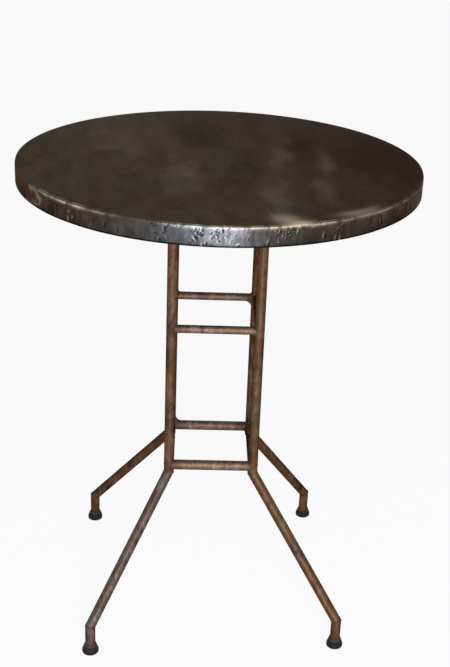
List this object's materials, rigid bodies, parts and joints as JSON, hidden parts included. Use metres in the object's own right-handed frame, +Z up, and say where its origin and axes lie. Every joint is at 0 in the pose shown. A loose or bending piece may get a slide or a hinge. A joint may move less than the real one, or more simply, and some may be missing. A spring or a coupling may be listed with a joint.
{
  "type": "bar table",
  "caption": "Round metal-clad bar table on a square column of welded pipes with rungs and splayed legs that end in rubber feet.",
  "frame": {"origin": "centre of the table on the floor, midway between the four feet", "axes": "+Z up; -Y is the front and +X the right, with the feet square to X and Y"},
  "size_m": [0.8099, 0.81, 1],
  "materials": {
    "patinated_sheet": "dark brown patina, waxed to a soft gloss, hammered at the rim",
    "board": "plain unfinished board",
    "fixings": "dull zinc",
    "flat_bar": "mill scale with rust",
    "rusty_pipe": "rust-brown patina, waxed",
    "weld": "rusted weld metal",
    "rubber": "matt moulded rubber"
  },
  "bodies": {
    "root": {"top_sheet": "patinated_sheet", "upper_board": "board", "lower_board": "board", "hem_nails": "fixings", "long_cross_bar": "flat_bar", "left_half_bar": "flat_bar", "right_half_bar": "flat_bar", "bar_screws": "fixings", "post_back_right": "rusty_pipe", "post_back_left": "rusty_pipe", "post_front_left": "rusty_pipe", "post_front_right": "rusty_pipe", "upper_rung_back": "rusty_pipe", "upper_rung_left": "rusty_pipe", "upper_rung_front": "rusty_pipe", "upper_rung_right": "rusty_pipe", "lower_rung_back": "rusty_pipe", "lower_rung_left": "rusty_pipe", "lower_rung_front": "rusty_pipe", "lower_rung_right": "rusty_pipe", "leg_back_right": "rusty_pipe", "leg_back_left": "rusty_pipe", "leg_front_left": "rusty_pipe", "leg_front_right": "rusty_pipe", "ankle_back_right": "rusty_pipe", "ankle_back_left": "rusty_pipe", "ankle_front_left": "rusty_pipe", "ankle_front_right": "rusty_pipe", "foot_back_right": "rubber", "foot_back_left": "rubber", "foot_front_left": "rubber", "foot_front_right": "rubber", "post_top_welds": "weld", "upper_rung_welds": "weld", "lower_rung_welds": "weld"}
  },
  "joints": []
}
